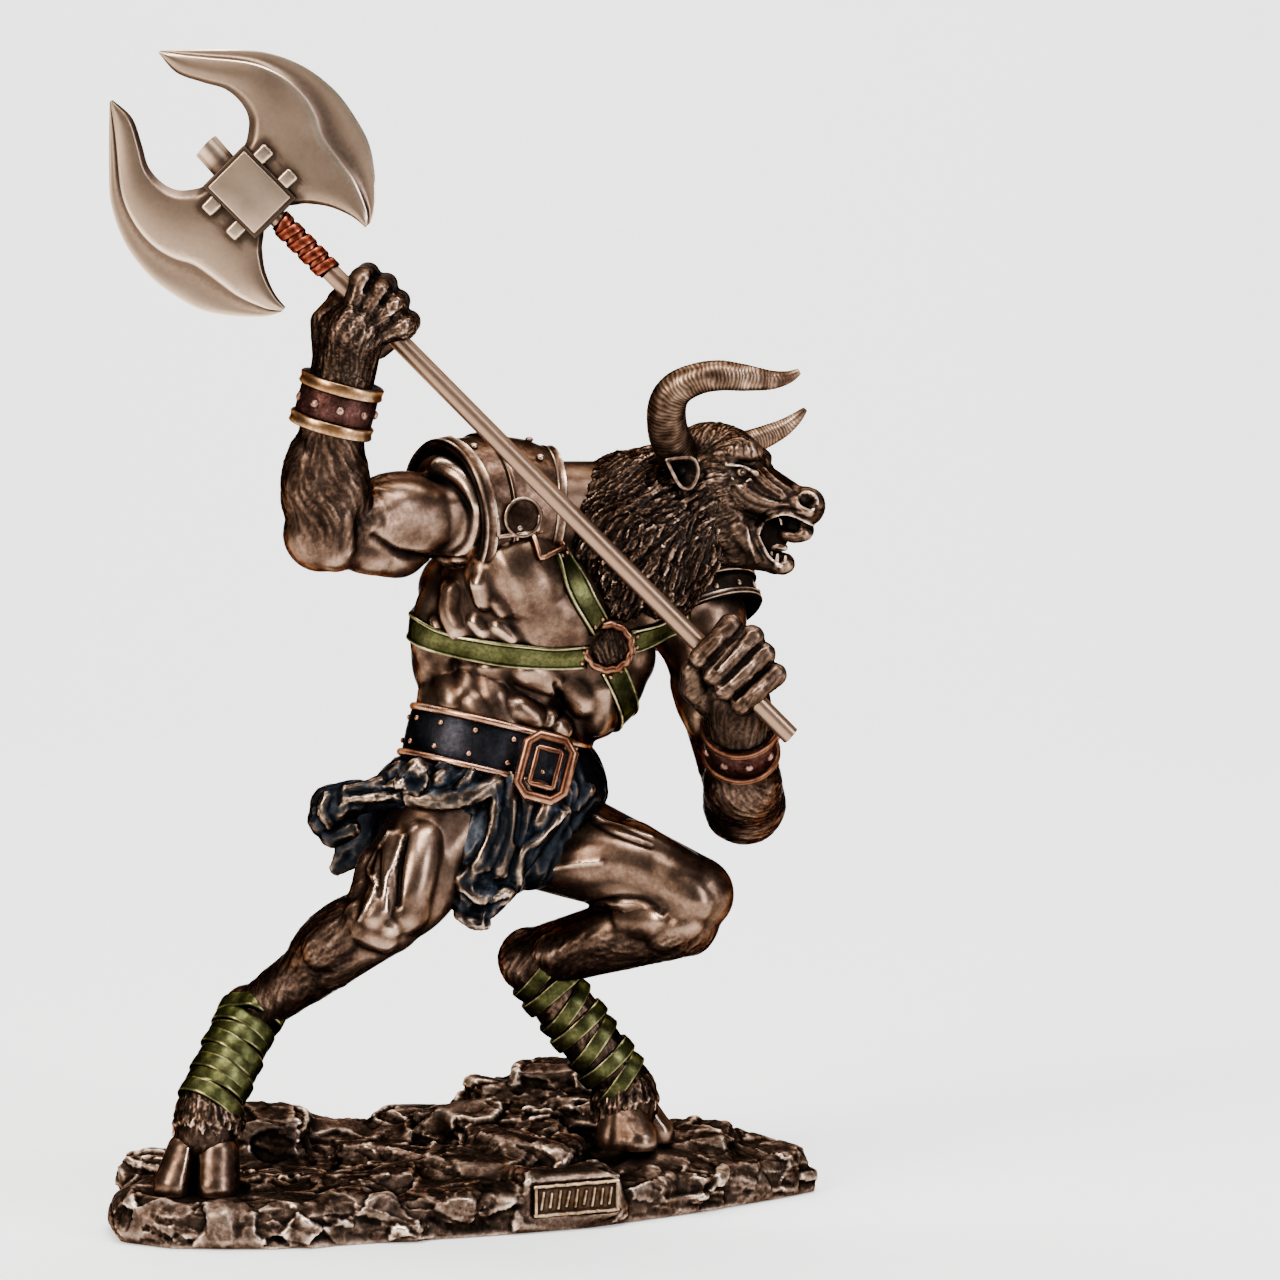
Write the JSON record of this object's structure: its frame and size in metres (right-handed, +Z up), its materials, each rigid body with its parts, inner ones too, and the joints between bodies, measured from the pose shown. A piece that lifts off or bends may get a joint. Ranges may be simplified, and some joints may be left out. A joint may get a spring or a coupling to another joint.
{
  "type": "minotaur statuette",
  "caption": "Cold-cast bronze statuette of a bull-headed minotaur lunging on a rock ledge and swinging a long double-bladed axe.",
  "frame": {"origin": "centre of the rock base's flat underside", "axes": "+Z up, -Y the front that the plate faces, +X towards the side that the bull's muzzle points to"},
  "size_m": [0.1773, 0.1071, 0.2903],
  "materials": {
    "dark_bronze": "dark patinated bronze, hand-rubbed pale on the high points, with olive and copper tinting",
    "bronze_rock": "dark patinated bronze over rough rock carving, rubbed on the edges",
    "pale_bronze": "pale brushed bronze with soft brown shading",
    "satin_bronze": "satin pale bronze",
    "red_copper": "red copper tint over bronze",
    "antique_bronze": "dark bronze with a rubbed rim and strokes"
  },
  "bodies": {
    "root": {"minotaur_figure": "dark_bronze", "rock_base": "bronze_rock", "axe_head": "pale_bronze", "axe_shaft": "satin_bronze", "shaft_binding": "red_copper", "name_plate": "antique_bronze"}
  },
  "joints": []
}
